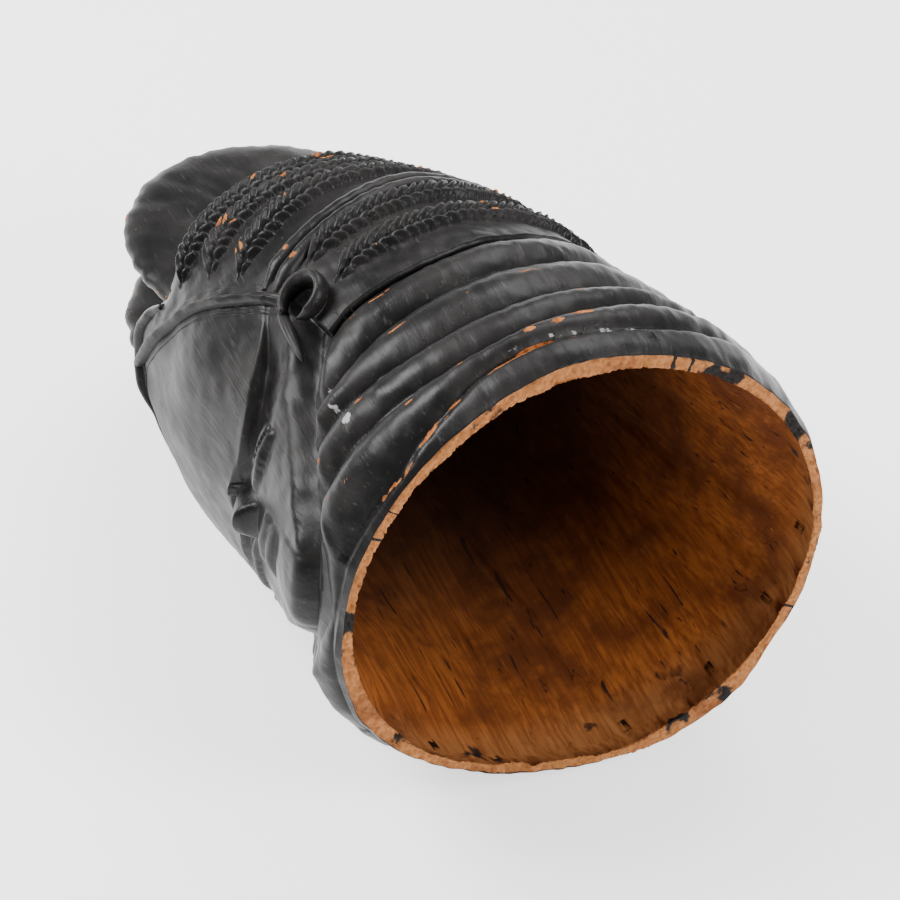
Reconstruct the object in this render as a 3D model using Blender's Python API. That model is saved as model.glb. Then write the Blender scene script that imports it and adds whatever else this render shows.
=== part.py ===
# Helmet mask carved from one block of wood, lying on its right side.
#
# The carving is worked out in the mask's own upright frame: x to the wearer's left,
# y to the back of the head, z up from the rim to the crown. The finished solid is then
# laid on its right side: crown towards +Y, face towards -X, left side up (+Z).
# Angles round the head are in degrees, from the middle of the face (0) to the nape (180).
import math

import bmesh
import bpy
import numpy as np
from mathutils import Matrix, Vector

for old in list(bpy.data.objects):
    bpy.data.objects.remove(old, do_unlink=True)

# Driving sizes, in metres
head_height = 0.352          # rim to crown, without the crest
rim_half_width = 0.125       # rim, middle to left or right
rim_half_depth = 0.130       # rim, middle to front or back
wall_left = 0.0095           # wall at the rim on the left side
wall_right = 0.0065          # wall at the rim on the right side
wall_ends = 0.0075           # wall at the rim at the face and the nape
wall_gain = 0.0060           # how much thicker the wall grows above the rim
crown_wall = 0.043           # wood left above the hollow
ring_depth = 0.0048          # grooves between the neck rings
jaw_depth = 0.0100           # groove under the jaw line
jaw_groove_width = 0.0085
brow_depth = 0.0085          # overhang of the brow over the cheeks
brow_edge = 0.0025           # how sharply the brow turns under
brow_fade = 0.042            # how far below the brow the cheeks come out again
hair_band_height = 0.0032    # roll along the hairline
hair_band_width = 0.0075
scalp_drop = 0.0022          # ground between the hair rows
crown_drop = 0.017           # how far the crown falls away beside the crest
crown_drop_width = 0.034
braid_height = 0.0042
braid_width = 0.0165
ridge_height = 0.0036        # the two plain rows between the braids
ridge_width = 0.0070
ridge_spacing = 0.0095
crest_gap = 0.054            # between the middles of the two crest plates
crest_thickness = 0.017
crest_length = 0.172         # front to back
crest_rise = 0.107           # middle of the crest to its top edge
crest_setback = 0.0025       # middle of the crest behind the middle of the crown
crest_sink = 0.053           # middle of the crest below the top of the crown
ear_size = 0.024             # across the ear's rolled edge
ear_roll = 0.0036            # radius of the rolled edge
ear_stand = 0.0060           # how far the rolled edge stands out
ear_hollow = 0.0050          # depth of the hollow inside it
nose_height = 0.0125         # how far the nose stands out at its tip
nose_tip_width = 0.022
nose_bridge_width = 0.007
lip_height = 0.0042
mouth_width = 0.030
chin_height = 0.0035
chin_width = 0.040
eye_height = 0.0045
eye_width = 0.038
eye_spacing = 0.068          # between the middles of the eyes
hole_width = 0.0044          # lacing holes along the rim
hole_length = 0.0056
rest_flat = 0.0045           # depth of the flat spots it lies on
rest_pitch = 7.8             # degrees, crown end down
rest_roll = 5.6              # degrees, face turned up
triangle_budget = 6100       # carved head before the crest, ears and hollow are joined
cutter_reach = 0.010         # how far a cutter runs past what it cuts

# Heights on the head are given in 352nds of its height, which is millimetres at real size.
unit = head_height / 352.0

# Height, half width and half depth against the rim's, and the section's middle
# towards the back, as shares of the rim's half depth.
profile = [
    (0, 1.000, 1.000, 0.000),
    (10, 1.032, 1.030, -0.008),
    (28, 1.048, 1.055, -0.020),
    (50, 1.030, 1.030, -0.042),
    (80, 1.000, 0.996, -0.066),
    (110, 0.972, 0.962, -0.096),
    (140, 0.952, 0.946, -0.141),
    (180, 0.924, 0.935, -0.200),
    (220, 0.865, 0.874, -0.254),
    (260, 0.765, 0.788, -0.315),
    (300, 0.635, 0.655, -0.346),
    (330, 0.470, 0.480, -0.360),
    (345, 0.300, 0.305, -0.365),
    (352, 0.000, 0.000, -0.365),
]

# Lines over the head: angle from the middle of the face, and height.
hairline = [(0, 252), (6, 245), (17, 230), (26, 216), (33, 203), (41, 180), (46.5, 161), (51, 140)]
brow_line = [(0, 126), (12, 122), (22, 127), (31, 137), (38, 147), (45, 162)]
jaw_line = [(0, 11), (10, 15), (18, 33), (30, 68), (39, 96), (46, 113), (51, 132)]
ring_lines = [
    [(20, 3), (39, 3), (47, 8), (55, 12), (70, 18), (100, 22), (135, 31), (180, 34)],
    [(20, 42), (40, 40), (70, 35), (90, 41), (112, 52), (135, 60), (180, 66)],
    [(20, 64), (40, 65), (65, 61), (90, 66), (112, 73), (135, 82), (180, 88)],
    [(20, 78), (40, 83), (60, 93), (80, 98), (100, 105), (120, 114), (180, 124)],
    [(20, 100), (44, 112), (58, 120), (77, 124), (94, 130), (108, 137), (125, 148), (180, 158)],
]
braid_rows = [
    [(28.5, 227), (42.5, 244), (55, 253), (80, 263), (110, 270), (180, 276)],
    [(37, 206), (46, 224), (56, 236), (75, 245), (110, 252), (180, 258)],
    [(42.5, 188), (54.5, 207), (67.5, 220), (85, 231), (110, 238), (180, 242)],
    [(56, 163), (66.5, 173), (75, 181.5), (91, 192), (110, 200), (180, 208)],
    [(57, 139), (66.5, 149), (75, 156), (88, 162), (106, 170), (125, 176), (180, 184)],
]
plain_row = [(47, 166), (58, 177), (68.5, 186), (81, 196), (102, 211), (125, 218), (180, 224)]

# The middle of the ears: signed angle, left, and height.
ear_place = (52.0, 150)

# Rim outline against the plain oval, in millimetres at real size, by signed angle:
# right side negative. It is worn in where the mask lies.
rim_wear = [(-180, 0), (-165, 0), (-150, 1), (-130, 5), (-114, 3), (-98, -3), (-80, -6), (-60, -5),
            (-44, -1), (-28, 4), (-12, 2), (8, -2), (28, -4), (52, -3), (70, 0), (84, 2), (105, 0),
            (148, -1), (180, 0)]
# Lacing holes: signed angle and height above the rim.
holes = [(-174, 17), (-153, 18), (-131, 18), (-107, 18), (-73, 13), (-58, 20), (-36, 12), (15.5, 9),
         (104, 13), (165, 22)]
# Scoops broken out of the rim: signed angle, width and depth.
chips = [(-66, 22, 3.0), (-74, 16, 4.5), (-88, 24, 3.0), (-38, 9, 2.0), (118, 10, 1.8)]


def along(points, at):
    """A smooth line through the points, level beyond its ends."""
    xs = np.array([p[0] for p in points], float)
    ys = np.array([p[1] for p in points], float)
    steps = np.diff(ys) / np.diff(xs)
    slopes = np.zeros_like(ys)
    for i in range(1, len(ys) - 1):
        if steps[i - 1] * steps[i] > 0:
            slopes[i] = 2.0 / (1.0 / steps[i - 1] + 1.0 / steps[i])
    slopes[0], slopes[-1] = steps[0], steps[-1]
    at = np.clip(np.asarray(at, float), xs[0], xs[-1])
    k = np.clip(np.searchsorted(xs, at, side="right") - 1, 0, len(xs) - 2)
    width = xs[k + 1] - xs[k]
    t = (at - xs[k]) / width
    return ((2 * t ** 3 - 3 * t ** 2 + 1) * ys[k] + (t ** 3 - 2 * t ** 2 + t) * width * slopes[k]
            + (3 * t ** 2 - 2 * t ** 3) * ys[k + 1] + (t ** 3 - t ** 2) * width * slopes[k + 1])


def ease(value, low, high):
    """Goes smoothly from 0 at low to 1 at high."""
    t = np.clip((value - low) / (high - low), 0.0, 1.0)
    return t * t * (3 - 2 * t)


def bump(distance, half_width):
    """A round roll: 1 in the middle, 0 at half_width and beyond."""
    return np.sqrt(np.clip(1 - (distance / half_width) ** 2, 0, None))


def section(station):
    """Height, half width, half depth and middle of the head's section at a station 0 to 1."""
    rows = np.array(profile, float)
    knots = np.arange(len(rows)) / (len(rows) - 1)
    columns = [along(list(zip(knots, rows[:, i])), station) for i in range(4)]
    return (columns[0] * unit, columns[1] * rim_half_width,
            columns[2] * rim_half_depth, columns[3] * rim_half_depth)


fine_stations = np.linspace(0, 1, 800)
fine_heights, fine_widths, _, _ = section(fine_stations)
fine_arc = np.concatenate([[0], np.cumsum(np.hypot(np.diff(fine_heights), np.diff(fine_widths)))])


def arc_at(height):
    """Distance from the rim, measured over the side of the head, at a height."""
    return np.interp(height, fine_heights, fine_arc)


def across(line, angle, arc):
    """Distance over the surface from a line to a point, positive towards the crown."""
    step = 0.5
    here = arc_at(along(line, angle) * unit)
    ahead = arc_at(along(line, angle + step) * unit)
    slope = (ahead - here) / (math.radians(step) * rim_half_width)
    return (arc - here) / np.sqrt(1 + slope ** 2)


def neck_relief(angle, arc):
    lines = [arc_at(along(line, angle) * unit) for line in ring_lines]
    relief = np.full_like(arc, -0.45 * ring_depth)
    collar_edge = np.clip((lines[0] - arc) / (4 * unit), 0, 1)
    relief -= 0.55 * ring_depth * (1 - collar_edge)
    for low, high in zip(lines[:-1], lines[1:]):
        share = (arc - low) / (high - low)
        inside = (share >= 0) & (share <= 1)
        roll = np.sin(math.pi * np.clip(share, 0, 1)) ** 0.55 - 1
        relief = np.where(inside, ring_depth * roll, relief)
    below_jaw = -across(jaw_line, angle, arc)
    beside = np.clip((angle - 51) * unit * 2.2, 0, None)
    distance = np.hypot(np.clip(below_jaw, 0, None), beside)
    return relief - jaw_depth * 0.8 * (1 - ease(distance, 0, 1.6 * jaw_groove_width))


def hair_relief(angle, arc):
    relief = np.full_like(arc, -scalp_drop)
    beyond = np.minimum(across(braid_rows[0], angle, arc) - 0.5 * braid_width,
                        across(hairline, angle, arc) - 2 * hair_band_width)
    crown = crown_drop * ease(beyond, 0, crown_drop_width)
    for row in braid_rows:
        distance = across(row, angle, arc)
        started = ease(angle, row[0][0] - 1, row[0][0] + 2)
        upper = bump(distance - 0.22 * braid_width, 0.27 * braid_width)
        lower = 0.8 * bump(distance + 0.25 * braid_width, 0.22 * braid_width)
        relief = np.maximum(relief, -scalp_drop + started * braid_height * np.maximum(upper, lower))
    distance = across(plain_row, angle, arc)
    started = ease(angle, plain_row[0][0] - 1, plain_row[0][0] + 2)
    for side in (-0.5, 0.5):
        ridge = bump(distance + side * ridge_spacing, 0.5 * ridge_width)
        relief = np.maximum(relief, -scalp_drop + started * ridge_height * ridge)
    return relief - crown


def face_relief(angle, arc):
    """The high forehead, the brow over the cheeks, and plain small features."""
    below_brow = -across(brow_line, angle, arc)
    above_jaw = across(jaw_line, angle, arc)
    depth = brow_depth * (1 - 0.5 * ease(angle, 26, 46))
    recess = ease(below_brow, 0, brow_edge) * (1 - 0.8 * ease(below_brow, 1.6 * brow_edge, brow_fade))
    relief = -depth * recess
    relief -= jaw_depth * (1 - ease(above_jaw, 0, 0.9 * jaw_groove_width))
    side = np.radians(angle) * rim_half_depth
    height = np.interp(arc, fine_arc, fine_heights) / unit
    nose_length = np.clip((127 - height) / 30, 0, 1)
    nose_half = 0.5 * (nose_bridge_width + (nose_tip_width - nose_bridge_width) * nose_length)
    nose_on = ease(height, 94, 99) * (1 - ease(height, 122, 129))
    relief += nose_on * nose_height * (0.35 + 0.65 * nose_length) * bump(side, nose_half)
    lip = bump(side, 0.5 * mouth_width)
    relief += lip_height * lip * bump(height - 80, 5.5) + lip_height * 0.9 * lip * bump(height - 70, 5.0)
    relief += chin_height * bump(side, 0.5 * chin_width) * bump(height - 42, 20)
    eye = bump(side - 0.5 * eye_spacing, 0.5 * eye_width) * bump(height - 107, 8)
    relief += eye_height * eye
    return relief


def carve(angle, arc):
    """How far the surface stands out from the head's plain form."""
    angle = np.abs(angle)
    from_hairline = across(hairline, angle, arc)
    over_neck = across(ring_lines[-1], angle, arc)
    above_jaw = across(jaw_line, angle, arc)
    before_ear = angle < 49.5
    in_face = before_ear & (from_hairline < 0) & (above_jaw > 0)
    in_hair = np.where(before_ear, from_hairline >= 0, over_neck > 0)
    relief = np.where(in_face, face_relief(angle, arc),
                      np.where(in_hair, hair_relief(angle, arc), neck_relief(angle, arc)))
    band = bump(from_hairline, 0.5 * hair_band_width) * (1 - ease(angle, 46, 50))
    return np.where(band > 0, np.maximum(relief, hair_band_height * band), relief)


def head_point(height, angle):
    """A point of the head's plain form at a height and a signed angle, and its way out."""
    station = np.interp(height, fine_heights, fine_stations)
    height, half_width, half_depth, middle = (float(v) for v in section(station))
    turn = math.radians(angle)
    point = Vector((half_width * math.sin(turn), middle - half_depth * math.cos(turn), height))
    outward = Vector((half_depth * math.sin(turn), -half_width * math.cos(turn), 0)).normalized()
    return point, outward


def new_object(name, shapes):
    """One object from closed shapes that don't touch, each a list of points and a list of faces."""
    mesh = bpy.data.meshes.new(name)
    verts, faces = [], []
    for shape_verts, shape_faces in shapes:
        first = len(verts)
        verts.extend(shape_verts)
        faces.extend([first + i for i in face] for face in shape_faces)
    mesh.from_pydata(verts, [], faces)
    shape = bmesh.new()
    shape.from_mesh(mesh)
    bmesh.ops.recalc_face_normals(shape, faces=shape.faces)
    shape.to_mesh(mesh)
    shape.free()
    item = bpy.data.objects.new(name, mesh)
    bpy.context.scene.collection.objects.link(item)
    return item


def closed_rings(rings, start, end):
    """A closed skin over a stack of rings, with a point at each end."""
    count, columns = rings.shape[:2]
    verts = rings.reshape(-1, 3).tolist() + [list(start), list(end)]
    faces = []
    for row in range(count - 1):
        for col in range(columns):
            after = (col + 1) % columns
            faces.append((row * columns + col, row * columns + after,
                          (row + 1) * columns + after, (row + 1) * columns + col))
    last = (count - 1) * columns
    for col in range(columns):
        after = (col + 1) % columns
        faces.append((count * columns, after, col))
        faces.append((count * columns + 1, last + col, last + after))
    return verts, faces


def head_block():
    """The head with its carving, running on below the rim to be cut off flat."""
    columns, rows = 280, 180
    angles = np.linspace(-180, 180, columns, endpoint=False)
    arcs = np.linspace(0, fine_arc[-1] * 0.995, rows)
    stations = np.interp(arcs, fine_arc, fine_stations)
    height, half_width, half_depth, middle = (c[:, None] for c in section(stations))
    turn = np.radians(angles)[None, :]
    points = np.stack([half_width * np.sin(turn), middle - half_depth * np.cos(turn),
                       height + 0 * turn], axis=-1)
    over = np.roll(points, -1, axis=1) - np.roll(points, 1, axis=1)
    up = np.gradient(points, axis=0)
    normal = np.cross(over, up)
    normal /= np.linalg.norm(normal, axis=-1, keepdims=True)
    signed, arc = np.broadcast_arrays(angles[None, :], arcs[:, None])
    relief = carve(signed, arc)
    wear = along(rim_wear, angles)[None, :] * unit * (1 - ease(height, 0, 45 * unit))
    outward = normal * np.array([1, 1, 0])
    points = points + normal * relief[..., None] + outward * wear[..., None]
    skirt = points[:1] * np.array([1, 1, 0]) - np.array([0, 0, cutter_reach])
    bottom = (0, 0, -cutter_reach)
    top = tuple(points[-1].mean(axis=0))
    return new_object("helmet_mask", [closed_rings(np.concatenate([skirt, points]), bottom, top)])


def hollow_cutter():
    """The space for the wearer's head, carved in from the rim."""
    columns, rows = 36, 11
    turn = np.radians(np.linspace(-180, 180, columns, endpoint=False))
    left = np.clip(np.sin(turn), 0, 1) ** 2
    right = np.clip(-np.sin(turn), 0, 1) ** 2
    wall = wall_ends + left * (wall_left - wall_ends) + right * (wall_right - wall_ends)
    inner_height = head_height - crown_wall
    rings = []
    for row in range(rows):
        height = inner_height * math.sin(math.radians(88.0) * row / (rows - 1))
        outer_height = height * head_height / inner_height
        _, half_width, half_depth, _ = section(np.interp(outer_height, fine_heights, fine_stations))
        middle = section(np.interp(height, fine_heights, fine_stations))[3]
        thick = wall + wall_gain * ease(height, 0, 60 * unit)
        wide = half_width * (1 - thick / rim_half_width)
        deep = half_depth * (1 - thick / rim_half_depth)
        rings.append(np.stack([wide * np.sin(turn), middle - deep * np.cos(turn), height + 0 * turn],
                              axis=-1))
    rings = np.array(rings)
    skirt = rings[:1] - np.array([0, 0, 2 * cutter_reach])
    shape = closed_rings(np.concatenate([skirt, rings]), (0, 0, -2 * cutter_reach), rings[-1].mean(axis=0))
    return new_object("hollow", [shape])


def crest_plate(side):
    """One of the two tall rounded plates of hair that stand side by side on the crown."""
    columns = 36
    turn = np.linspace(0, 2 * math.pi, columns, endpoint=False)
    middle_y = profile[-1][3] * rim_half_depth + crest_setback
    middle_height = head_height - crest_sink
    shares = [0.80, 0.93, 0.982]
    rim_to_rim = [(s, -1) for s in shares] + [(1.0, 0)] + [(s, 1) for s in reversed(shares)]
    rings = []
    for share, face in rim_to_rim:
        thick = 0.5 * crest_thickness * math.sqrt(1 - share ** 8)
        rings.append(np.stack([side * 0.5 * crest_gap + face * thick + 0 * turn,
                               middle_y + 0.5 * crest_length * share * np.cos(turn),
                               middle_height + crest_rise * share * np.sin(turn)], axis=-1))
    ends = [(side * 0.5 * crest_gap + face * 0.5 * crest_thickness, middle_y, middle_height)
            for face in (-1, 1)]
    return closed_rings(np.array(rings), ends[0], ends[1])


def ear_frame(side):
    """The ear's middle on the head, and the ways back, up and out from it."""
    angle, height = ear_place
    point, outward = head_point(height * unit, side * angle)
    up = Vector((0, 0, 1))
    back = up.cross(outward) * side
    return point, back, up, outward


def ear_edge(side):
    """The rolled edge: a loop open towards the cheek, running down into a tapered lobe."""
    point, back, up, outward = ear_frame(side)
    steps, sides = 22, 8
    rings = []
    for step in range(steps + 1):
        share = step / steps
        turn = math.radians(255 - 330 * share)
        radius = 0.5 * ear_size
        thick = ear_roll * (0.55 + 0.55 * math.sin(math.pi * min(1, 0.12 + share)))
        at = point + back * radius * math.cos(turn) + up * radius * math.sin(turn)
        at = at + outward * ear_stand * (0.25 + 0.75 * math.sin(math.pi * min(1, 0.1 + 0.9 * share)))
        out_of_loop = (back * math.cos(turn) + up * math.sin(turn)).normalized()
        ring = []
        for corner in range(sides):
            around = 2 * math.pi * corner / sides
            ring.append(at + out_of_loop * thick * math.cos(around)
                        + outward * 1.5 * thick * math.sin(around))
        rings.append(ring)
    rings = np.array(rings)
    return closed_rings(rings, rings[0].mean(axis=0), rings[-1].mean(axis=0))


def ball(middle, axes, sizes, segments=14, stacks=8):
    """An ellipsoid with its axes along the given directions."""
    rings = []
    for stack in range(1, stacks):
        tilt = math.pi * stack / stacks
        ring = []
        for segment in range(segments):
            turn = 2 * math.pi * segment / segments
            ring.append(middle + axes[0] * sizes[0] * math.sin(tilt) * math.cos(turn)
                        + axes[1] * sizes[1] * math.sin(tilt) * math.sin(turn)
                        + axes[2] * sizes[2] * math.cos(tilt))
        rings.append(ring)
    return closed_rings(np.array(rings), middle + axes[2] * sizes[2], middle - axes[2] * sizes[2])


def ear_lobe(side):
    point, back, up, outward = ear_frame(side)
    middle = point - up * 0.95 * ear_size - back * 0.32 * ear_size
    return ball(middle, (back, up, outward), (0.16 * ear_size, 0.62 * ear_size, 0.9 * ear_stand))


def ear_inside(side):
    point, back, up, outward = ear_frame(side)
    size = 0.5 * ear_size - ear_roll
    return ball(point + outward * 0.2 * ear_hollow, (back, up, outward), (size, size, ear_hollow))


def lacing_hole(angle, height):
    """A square hole through the wall by the rim, where a skirt of fibre is laced on."""
    point, outward = head_point(height * unit, angle)
    up = Vector((0, 0, 1))
    over = up.cross(outward)
    length = max(wall_left, wall_right, wall_ends) + 2 * cutter_reach
    verts = []
    for out in (-1.1, 0.5):
        for wide, tall in ((-1, -1), (1, -1), (1, 1), (-1, 1)):
            verts.append(list(point + outward * out * length + over * wide * 0.5 * hole_width
                              + up * tall * 0.5 * hole_length))
    return verts, [(0, 1, 2, 3), (7, 6, 5, 4), (0, 4, 5, 1), (1, 5, 6, 2), (2, 6, 7, 3), (3, 7, 4, 0)]


def rim_chip(angle, wide, deep):
    point, outward = head_point(0.0, angle)
    up = Vector((0, 0, 1))
    return ball(point + outward * 0.3 * wall_right, (up.cross(outward), outward, up),
                (0.5 * wide * unit, 0.75 * wall_right, deep * unit))


def join_or_cut(body, other, operation):
    step = body.modifiers.new(other.name, "BOOLEAN")
    step.object = other
    step.operation = operation
    step.solver = "EXACT"
    other.hide_render = True
    other.display_type = "WIRE"


def cut_flat(shape, point, outward):
    """Cuts off all that lies beyond a plane and closes the cut."""
    parts = shape.verts[:] + shape.edges[:] + shape.faces[:]
    cut = bmesh.ops.bisect_plane(shape, geom=parts, plane_co=point, plane_no=outward,
                                 clear_outer=True, dist=1e-7)
    edges = [e for e in cut["geom_cut"] if isinstance(e, bmesh.types.BMEdge)]
    bmesh.ops.edgenet_fill(shape, edges=edges)


def resting_turn():
    """From the upright frame to the mask lying on its right side."""
    lay_down = Matrix(((0, 1, 0), (0, 0, 1), (1, 0, 0))).to_4x4()
    pitch = Matrix.Rotation(-math.radians(rest_pitch), 4, "X")
    roll = Matrix.Rotation(math.radians(rest_roll), 4, "Y")
    return roll @ pitch @ lay_down


def wood_material():
    wood = bpy.data.materials.new("blackened_wood")
    wood.use_nodes = True
    shader = wood.node_tree.nodes["Principled BSDF"]
    shader.inputs["Base Color"].default_value = (0.03, 0.027, 0.026, 1)
    shader.inputs["Roughness"].default_value = 0.42
    shader.inputs["Metallic"].default_value = 0.0
    return wood


mask = head_block()
simplify = mask.modifiers.new("fewer_faces", "DECIMATE")
simplify.ratio = triangle_budget / sum(len(face.vertices) - 2 for face in mask.data.polygons)
both = (1, -1)
join_or_cut(mask, new_object("crest", [crest_plate(side) for side in both]), "UNION")
join_or_cut(mask, new_object("ear_edges", [ear_edge(side) for side in both]), "UNION")
join_or_cut(mask, new_object("ear_lobes", [ear_lobe(side) for side in both]), "UNION")
join_or_cut(mask, hollow_cutter(), "DIFFERENCE")
cuts = [ear_inside(side) for side in both] + [lacing_hole(*hole) for hole in holes]
join_or_cut(mask, new_object("holes", cuts + [rim_chip(*chip) for chip in chips]), "DIFFERENCE")

# The joined solid is laid down, cut flat at the rim and where it rests, and stood on the ground.
bpy.context.view_layer.update()
joined = mask.evaluated_get(bpy.context.evaluated_depsgraph_get())
solid = bmesh.new()
solid.from_mesh(joined.to_mesh())
cut_flat(solid, (0, 0, 0), (0, 0, -1))
bmesh.ops.transform(solid, matrix=resting_turn(), verts=solid.verts)
ground = min(v.co.z for v in solid.verts) + rest_flat
cut_flat(solid, (0, 0, ground), (0, 0, -1))
bmesh.ops.dissolve_degenerate(solid, dist=1e-6, edges=solid.edges)
low = [min(v.co[i] for v in solid.verts) for i in range(3)]
high = [max(v.co[i] for v in solid.verts) for i in range(3)]
middle = Vector(((low[0] + high[0]) / 2, (low[1] + high[1]) / 2, ground))
bmesh.ops.translate(solid, vec=-middle, verts=solid.verts)
carved = bpy.data.meshes.new("helmet_mask")
solid.to_mesh(carved)
solid.free()
mask.modifiers.clear()
mask.data = carved
mask.data.materials.append(wood_material())
mask.data.shade_smooth()
mask.data.set_sharp_from_angle(angle=math.radians(35))
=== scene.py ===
# Carved helmet mask lying on its right side: black dyed outside, raw orange wood inside.
import math

import bmesh
import bpy
import numpy as np
from mathutils import Matrix, Vector


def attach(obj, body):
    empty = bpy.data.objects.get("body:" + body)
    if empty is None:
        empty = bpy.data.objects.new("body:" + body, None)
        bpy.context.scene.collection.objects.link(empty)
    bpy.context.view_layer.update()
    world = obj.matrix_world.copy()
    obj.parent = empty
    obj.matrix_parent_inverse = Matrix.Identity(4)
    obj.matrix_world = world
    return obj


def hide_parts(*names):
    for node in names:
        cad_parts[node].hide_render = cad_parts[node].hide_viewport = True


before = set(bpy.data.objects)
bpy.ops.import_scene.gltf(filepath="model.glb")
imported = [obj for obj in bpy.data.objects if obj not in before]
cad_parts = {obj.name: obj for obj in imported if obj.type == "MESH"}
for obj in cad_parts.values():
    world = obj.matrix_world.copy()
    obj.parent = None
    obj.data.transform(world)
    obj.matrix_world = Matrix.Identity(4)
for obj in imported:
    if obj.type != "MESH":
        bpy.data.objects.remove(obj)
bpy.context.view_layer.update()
print("frame loaded, solids:", len(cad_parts))
mm = 0.001

# The head is worked out upright: x to the wearer's left, y to the back, z up from the rim.
# Angles go round from the middle of the face (0) to the nape (180), left positive.
# A line over the head is a list of angles and heights in mm.
head = {
    "height": 0.352, "rimHalfWidth": 0.125, "rimHalfDepth": 0.130, "columns": 720, "rows": 128,
    "profile": [  # height in mm, then half width, half depth and middle as shares of the rim's
        (0, 1.000, 1.000, 0.000), (10, 1.032, 1.030, -0.008), (28, 1.048, 1.055, -0.020),
        (50, 1.030, 1.030, -0.042), (80, 1.000, 0.996, -0.066), (110, 0.972, 0.962, -0.096),
        (140, 0.952, 0.946, -0.141), (180, 0.924, 0.935, -0.200), (220, 0.865, 0.874, -0.254),
        (260, 0.765, 0.788, -0.315), (300, 0.635, 0.655, -0.346), (330, 0.470, 0.480, -0.360),
        (345, 0.300, 0.305, -0.365), (352, 0.000, 0.000, -0.365),
    ],
    # Rows of the mesh are shared out between these lines and the crown.
    "levels": [
        [(0, 134), (12, 132), (24, 135), (34, 146), (42, 154), (50, 152), (70, 160), (180, 190)],
        [(0, 240), (17, 219), (26, 206), (33, 193), (41, 177), (50, 175), (60, 186), (80, 200), (180, 222)],
        [(0, 266), (17, 249), (28, 240), (40, 246), (55, 258), (80, 272), (180, 286)],
    ],
    "rowShares": [(0, 0.44), (0.44, 0.62), (0.62, 0.83), (0.83, 1.0)],
}
# How the mask lies: tilt in degrees, and the place of the rim's middle.
resting = {"pitch": 7.8, "roll": 5.6, "rimMiddle": (0.009868, -0.194861, 0.133539)}


def restingPlace():
    # From the upright head to the mask on its right side, as the frame has it.
    layDown = Matrix(((0, 1, 0), (0, 0, 1), (1, 0, 0))).to_4x4()
    pitch = Matrix.Rotation(-math.radians(resting["pitch"]), 4, "X")
    roll = Matrix.Rotation(math.radians(resting["roll"]), 4, "Y")
    return Matrix.Translation(resting["rimMiddle"]) @ roll @ pitch @ layDown


toFloor = restingPlace()


def smoothLine(points, at):
    # A curve through the points that doesn't overshoot between them.
    xs = np.array([p[0] for p in points], float)
    ys = np.array([p[1] for p in points], float)
    steps = np.diff(ys) / np.diff(xs)
    slopes = np.zeros_like(ys)
    for i in range(1, len(ys) - 1):
        if steps[i - 1] * steps[i] > 0:
            slopes[i] = 2.0 / (1.0 / steps[i - 1] + 1.0 / steps[i])
    slopes[0], slopes[-1] = steps[0], steps[-1]
    at = np.clip(np.asarray(at, float), xs[0], xs[-1])
    k = np.clip(np.searchsorted(xs, at, side="right") - 1, 0, len(xs) - 2)
    width = xs[k + 1] - xs[k]
    t = (at - xs[k]) / width
    return ((2 * t ** 3 - 3 * t ** 2 + 1) * ys[k] + (t ** 3 - 2 * t ** 2 + t) * width * slopes[k]
            + (3 * t ** 2 - 2 * t ** 3) * ys[k + 1] + (t ** 3 - t ** 2) * width * slopes[k + 1])


def ease(value, low, high):
    t = np.clip((value - low) / (high - low), 0.0, 1.0)
    return t * t * (3 - 2 * t)


def roundRoll(distance, halfWidth):
    return np.sqrt(np.clip(1 - (distance / halfWidth) ** 2, 0, None))


def waves(points, size, seed, turns=7):
    # Soft, uneven variation between about -1 and 1, from sine waves crossing in many directions.
    rng = np.random.default_rng(seed)
    total = np.zeros(points.shape[:-1])
    for _ in range(turns):
        way = rng.normal(size=3)
        way *= rng.uniform(0.6, 1.7) / (np.linalg.norm(way) * size)
        shift = rng.uniform(0, 2 * math.pi)
        twist = rng.normal(size=3) / (size * 2.3)
        total += np.sin(points @ way * 2 * math.pi + shift + 1.3 * np.sin(points @ twist * 2 * math.pi))
    return total / math.sqrt(turns)


def headSection(station):
    # Height, half width, half depth and middle of the oval at a station from 0 to 1.
    rows = np.array(head["profile"], float)
    knots = np.arange(len(rows)) / (len(rows) - 1)
    columns = [smoothLine(list(zip(knots, rows[:, i])), station) for i in range(4)]
    return (columns[0] * mm, columns[1] * head["rimHalfWidth"],
            columns[2] * head["rimHalfDepth"], columns[3] * head["rimHalfDepth"])


headAngles = np.linspace(-180, 180, head["columns"], endpoint=False)
fineStations = np.linspace(0, 1, 1200)
fineHeights, fineWidths, fineDepths, _ = headSection(fineStations)
fineArc = np.concatenate([[0], np.cumsum(np.hypot(np.diff(fineHeights), np.diff(fineWidths)))])


def arcAt(height):
    # Distance up over the surface from the rim.
    return np.interp(height, fineHeights, fineArc)


def fromFace(angle):
    # Angle from the middle of the face, 0 to 180, whichever side.
    return np.abs((angle + 180) % 360 - 180)


def apart(angle, place):
    # Signed degrees from a place round the head.
    return (angle - place + 180) % 360 - 180


def lineArc(line, angle):
    return arcAt(smoothLine(line, fromFace(angle)) * mm)


def across(line, angle, arc):
    # Distance over the surface from a line, positive towards the crown.
    step = 0.5
    here, ahead = lineArc(line, angle), arcAt(smoothLine(line, fromFace(angle) + step) * mm)
    slope = (ahead - here) / (math.radians(step) * head["rimHalfWidth"])
    return (arc - here) / np.sqrt(1 + slope ** 2)


def plainPoint(angle, arc):
    # The head's plain form at an angle and a distance up from the rim.
    station = np.interp(arc, fineArc, fineStations)
    height, halfWidth, halfDepth, middle = headSection(station)
    turn = np.radians(angle)
    return np.stack([halfWidth * np.sin(turn), middle - halfDepth * np.cos(turn), height + 0 * turn], axis=-1)


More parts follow.
